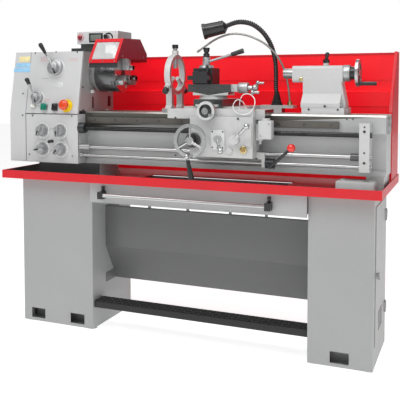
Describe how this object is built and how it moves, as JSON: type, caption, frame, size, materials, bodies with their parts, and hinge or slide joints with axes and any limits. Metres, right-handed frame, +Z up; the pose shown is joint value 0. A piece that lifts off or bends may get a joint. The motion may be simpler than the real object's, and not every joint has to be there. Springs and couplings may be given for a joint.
{
  "type": "metal lathe",
  "caption": "Gear-head engine lathe on two sheet-metal cabinets with chip tray, red splash back, three-jaw chuck, carriage, steady rest and tailstock.",
  "frame": {"origin": "on the floor under the middle of the lathe's bounding box", "axes": "+X along the bed from headstock to tailstock, +Y away from the operator, +Z up"},
  "size_m": [1.759, 0.632, 1.4143],
  "materials": {
    "machine_grey": "smooth grey enamel",
    "cabinet_grey": "satin grey powder coat",
    "light_grey": "light grey enamel",
    "signal_red": "bright red enamel",
    "ground_steel": "ground bright",
    "blackened_steel": "black oxide",
    "cast_aluminium": "satin",
    "black_rubber": "matte black",
    "black_plastic": "gloss black",
    "red_plastic": "gloss red",
    "green_plastic": "gloss green",
    "clear_window": "clear polycarbonate"
  },
  "bodies": {
    "frame": {"left_cabinet": "cabinet_grey", "right_cabinet": "cabinet_grey", "chip_tray": "signal_red", "splash_trough": "cabinet_grey", "bed": "machine_grey", "headstock_casting": "light_grey", "control_panel": "light_grey", "gearbox_housing": "light_grey", "end_cover_backplate": "blackened_steel", "motor": "machine_grey", "spindle_bearings": "ground_steel", "display_box": "light_grey", "backsplash": "signal_red"},
    "cabinet_door": {"cabinet_door": "cabinet_grey"},
    "chip_drawer": {"chip_drawer": "light_grey"},
    "brake_treadle": {"brake_treadle": "black_rubber"},
    "end_gear_cover": {"end_gear_cover": "light_grey"},
    "idler_gear": {"idler_gear": "ground_steel"},
    "gearbox_input_gear": {"gearbox_input_gear": "ground_steel"},
    "input_shaft": {"input_shaft": "ground_steel"},
    "motor_pulley": {"motor_pulley": "ground_steel"},
    "spindle": {"spindle": "ground_steel", "chuck_body": "ground_steel"},
    "chuck_jaw_1": {"chuck_jaw_1": "ground_steel"},
    "chuck_jaw_2": {"chuck_jaw_2": "ground_steel"},
    "chuck_jaw_3": {"chuck_jaw_3": "ground_steel"},
    "chuck_guard": {"chuck_guard": "signal_red", "guard_window": "clear_window"},
    "speed_lever_upper": {"speed_lever_upper": "cast_aluminium"},
    "speed_lever_lower": {"speed_lever_lower": "cast_aluminium"},
    "selector_knob_1": {"selector_knob_1": "cast_aluminium"},
    "selector_knob_2": {"selector_knob_2": "cast_aluminium"},
    "selector_knob_3": {"selector_knob_3": "cast_aluminium"},
    "selector_knob_4": {"selector_knob_4": "cast_aluminium"},
    "start_button": {"start_button": "green_plastic"},
    "stop_button": {"stop_button": "black_plastic"},
    "estop_button": {"estop_button": "red_plastic"},
    "leadscrew": {"leadscrew": "ground_steel"},
    "feed_rod": {"feed_rod": "ground_steel"},
    "control_rod": {"control_rod": "ground_steel"},
    "carriage": {"saddle": "machine_grey", "apron": "machine_grey", "work_lamp": "black_rubber", "coolant_pipe": "cast_aluminium"},
    "carriage_wheel": {"carriage_wheel": "ground_steel"},
    "feed_lever": {"feed_lever": "ground_steel"},
    "half_nut_lever": {"half_nut_lever": "machine_grey"},
    "control_lever": {"control_lever": "blackened_steel"},
    "cross_slide": {"cross_slide": "ground_steel"},
    "cross_feed_wheel": {"cross_feed_wheel": "ground_steel"},
    "compound_slide": {"compound_slide": "ground_steel", "tool_post": "blackened_steel"},
    "compound_crank": {"compound_crank": "ground_steel"},
    "tool_post_lever": {"tool_post_lever": "black_rubber"},
    "steady_rest": {"steady_rest": "cast_aluminium"},
    "steady_finger_top": {"steady_finger_top": "cast_aluminium"},
    "tailstock": {"tailstock": "machine_grey"},
    "quill": {"quill": "ground_steel"},
    "tailstock_wheel": {"tailstock_wheel": "ground_steel"},
    "quill_clamp_lever": {"quill_clamp_lever": "ground_steel"}
  },
  "joints": [
    {"name": "cabinet_door_hinge", "type": "hinge", "parent": "frame", "child": "cabinet_door", "pos_m": [0.851, 0.1255, 0.37], "axis": [0, 0, 1], "range_deg": [0, 110]},
    {"name": "chip_drawer_slide", "type": "slide", "parent": "frame", "child": "chip_drawer", "axis": [0, -1, 0], "range_m": [0, 0.3]},
    {"name": "brake_treadle_pivot", "type": "hinge", "parent": "frame", "child": "brake_treadle", "pos_m": [0.08, -0.1235, 0.121], "axis": [1, 0, 0], "range_deg": [0, 12], "stiffness_Nm_per_rad": 600, "springref_deg": -6.88},
    {"name": "end_cover_hinge", "type": "hinge", "parent": "frame", "child": "end_gear_cover", "pos_m": [-0.789, 0.2255, 0.88], "axis": [0, 0, -1], "range_deg": [0, 100]},
    {"name": "spindle_spin", "type": "hinge", "parent": "frame", "child": "spindle", "pos_m": [-0.48, -0.0155, 1.177], "axis": [1, 0, 0], "continuous": true},
    {"name": "idler_spin", "type": "hinge", "parent": "frame", "child": "idler_gear", "pos_m": [-0.823, -0.05934, 1.02729], "axis": [1, 0, 0], "continuous": true},
    {"name": "gearbox_input_spin", "type": "hinge", "parent": "frame", "child": "gearbox_input_gear", "pos_m": [-0.823, -0.1275, 0.905], "axis": [1, 0, 0], "continuous": true},
    {"name": "input_shaft_spin", "type": "hinge", "parent": "frame", "child": "input_shaft", "pos_m": [-0.7, 0.0745, 1.11034], "axis": [1, 0, 0], "continuous": true},
    {"name": "motor_spin", "type": "hinge", "parent": "frame", "child": "motor_pulley", "pos_m": [-0.7, 0.1625, 0.88], "axis": [1, 0, 0], "continuous": true},
    {"name": "leadscrew_spin", "type": "hinge", "parent": "frame", "child": "leadscrew", "pos_m": [0, -0.1605, 0.931], "axis": [1, 0, 0], "continuous": true},
    {"name": "feed_rod_spin", "type": "hinge", "parent": "frame", "child": "feed_rod", "pos_m": [0, -0.1605, 0.843], "axis": [1, 0, 0], "continuous": true},
    {"name": "chuck_jaw_1_slide", "type": "slide", "parent": "spindle", "child": "chuck_jaw_1", "axis": [0, 0, 1], "range_m": [-0.014, 0.025]},
    {"name": "chuck_jaw_2_slide", "type": "slide", "parent": "spindle", "child": "chuck_jaw_2", "axis": [0, -0.866, -0.5], "range_m": [-0.014, 0.025]},
    {"name": "chuck_jaw_3_slide", "type": "slide", "parent": "spindle", "child": "chuck_jaw_3", "axis": [0, 0.866, -0.5], "range_m": [-0.014, 0.025]},
    {"name": "chuck_guard_hinge", "type": "hinge", "parent": "frame", "child": "chuck_guard", "pos_m": [-0.4, 0.1605, 1.25], "axis": [-1, 0, 0], "range_deg": [0, 85]},
    {"name": "speed_lever_upper_turn", "type": "hinge", "parent": "frame", "child": "speed_lever_upper", "pos_m": [-0.638, -0.14228, 1.20962], "axis": [0, -0.9845, 0.1753], "range_deg": [-35, 35]},
    {"name": "speed_lever_lower_turn", "type": "hinge", "parent": "frame", "child": "speed_lever_lower", "pos_m": [-0.724, -0.16753, 1.06785], "axis": [0, -0.9845, 0.1753], "range_deg": [-35, 35]},
    {"name": "selector_knob_1_turn", "type": "hinge", "parent": "frame", "child": "selector_knob_1", "pos_m": [-0.692, -0.2055, 0.916], "axis": [0, -1, 0], "range_deg": [-90, 90]},
    {"name": "selector_knob_2_turn", "type": "hinge", "parent": "frame", "child": "selector_knob_2", "pos_m": [-0.592, -0.2055, 0.916], "axis": [0, -1, 0], "range_deg": [-90, 90]},
    {"name": "selector_knob_3_turn", "type": "hinge", "parent": "frame", "child": "selector_knob_3", "pos_m": [-0.692, -0.2055, 0.829], "axis": [0, -1, 0], "range_deg": [-90, 90]},
    {"name": "selector_knob_4_turn", "type": "hinge", "parent": "frame", "child": "selector_knob_4", "pos_m": [-0.592, -0.2055, 0.829], "axis": [0, -1, 0], "range_deg": [-90, 90]},
    {"name": "start_button_press", "type": "slide", "parent": "frame", "child": "start_button", "axis": [0, 0.9845, -0.1753], "range_m": [0, 0.004], "stiffness_N_per_m": 400, "springref_m": -0.004},
    {"name": "stop_button_press", "type": "slide", "parent": "frame", "child": "stop_button", "axis": [0, 0.9845, -0.1753], "range_m": [0, 0.004], "stiffness_N_per_m": 400, "springref_m": -0.004},
    {"name": "estop_button_press", "type": "slide", "parent": "frame", "child": "estop_button", "axis": [0, 0.9845, -0.1753], "range_m": [0, 0.005], "stiffness_N_per_m": 800, "springref_m": -0.004},
    {"name": "control_rod_turn", "type": "hinge", "parent": "frame", "child": "control_rod", "pos_m": [0, -0.1605, 0.804], "axis": [1, 0, 0], "range_deg": [-18, 18]},
    {"name": "carriage_wheel_turn", "type": "hinge", "parent": "carriage", "child": "carriage_wheel", "pos_m": [0.105, -0.2775, 0.897], "axis": [0, 1, 0], "range_deg": [0, 2160]},
    {"name": "carriage_travel", "type": "slide", "parent": "frame", "child": "carriage", "axis": [1, 0, 0], "range_m": [0, 0.12]},
    {"name": "control_lever_turn", "type": "hinge", "parent": "carriage", "child": "control_lever", "pos_m": [0.416, -0.1605, 0.804], "axis": [1, 0, 0], "range_deg": [-18, 18]},
    {"name": "feed_lever_turn", "type": "hinge", "parent": "carriage", "child": "feed_lever", "pos_m": [0.215, -0.2455, 0.905], "axis": [0, 1, 0], "range_deg": [-35, 35]},
    {"name": "half_nut_lever_turn", "type": "hinge", "parent": "carriage", "child": "half_nut_lever", "pos_m": [0.288, -0.2455, 0.905], "axis": [0, 1, 0], "range_deg": [0, 30]},
    {"name": "cross_feed_wheel_turn", "type": "hinge", "parent": "carriage", "child": "cross_feed_wheel", "pos_m": [0.169, -0.2555, 1.021], "axis": [0, 1, 0], "range_deg": [-2880, 3600]},
    {"name": "cross_slide_travel", "type": "slide", "parent": "carriage", "child": "cross_slide", "axis": [0, 1, 0], "range_m": [-0.04, 0.05]},
    {"name": "compound_crank_turn", "type": "hinge", "parent": "compound_slide", "child": "compound_crank", "pos_m": [0.322, -0.0735, 1.116], "axis": [-1, 0, 0], "range_deg": [-3600, 1800]},
    {"name": "compound_slide_travel", "type": "slide", "parent": "cross_slide", "child": "compound_slide", "axis": [-1, 0, 0], "range_m": [-0.04, 0.02]},
    {"name": "tool_post_lever_turn", "type": "hinge", "parent": "compound_slide", "child": "tool_post_lever", "pos_m": [0.092, -0.0605, 1.23], "axis": [0, 0, 1], "range_deg": [-40, 60]},
    {"name": "steady_rest_travel", "type": "slide", "parent": "frame", "child": "steady_rest", "axis": [1, 0, 0], "range_m": [-0.15, 0]},
    {"name": "steady_finger_top_slide", "type": "slide", "parent": "steady_rest", "child": "steady_finger_top", "axis": [0, 0, 1], "range_m": [-0.008, 0.03]},
    {"name": "tailstock_travel", "type": "slide", "parent": "frame", "child": "tailstock", "axis": [1, 0, 0], "range_m": [0, 0.15]},
    {"name": "tailstock_wheel_turn", "type": "hinge", "parent": "tailstock", "child": "tailstock_wheel", "pos_m": [0.748, -0.0155, 1.177], "axis": [-1, 0, 0], "range_deg": [0, 7200]},
    {"name": "quill_travel", "type": "slide", "parent": "tailstock", "child": "quill", "axis": [-1, 0, 0], "range_m": [0, 0.1]},
    {"name": "quill_clamp_lever_turn", "type": "hinge", "parent": "tailstock", "child": "quill_clamp_lever", "pos_m": [0.612, -0.0035, 1.23], "axis": [0, 0, 1], "range_deg": [-60, 30]}
  ],
  "couplings": [
    {"joint": "idler_spin", "follows": "spindle_spin", "ratio": -0.56},
    {"joint": "gearbox_input_spin", "follows": "spindle_spin", "ratio": 1.4},
    {"joint": "input_shaft_spin", "follows": "spindle_spin", "ratio": -2.1111},
    {"joint": "motor_spin", "follows": "spindle_spin", "ratio": -4.098},
    {"joint": "leadscrew_spin", "follows": "spindle_spin", "ratio": 0.375},
    {"joint": "feed_rod_spin", "follows": "spindle_spin", "ratio": 0.21},
    {"joint": "chuck_jaw_2_slide", "follows": "chuck_jaw_1_slide", "ratio": 1},
    {"joint": "chuck_jaw_3_slide", "follows": "chuck_jaw_1_slide", "ratio": 1},
    {"joint": "carriage_travel", "follows": "carriage_wheel_turn", "m_per_rad": 0.0031831},
    {"joint": "control_lever_turn", "follows": "control_rod_turn", "ratio": 1},
    {"joint": "cross_feed_wheel_turn", "follows": "cross_slide_travel", "rad_per_m": 1256.6},
    {"joint": "compound_crank_turn", "follows": "compound_slide_travel", "rad_per_m": 1570.8},
    {"joint": "quill_travel", "follows": "tailstock_wheel_turn", "m_per_rad": 0.00079577}
  ]
}
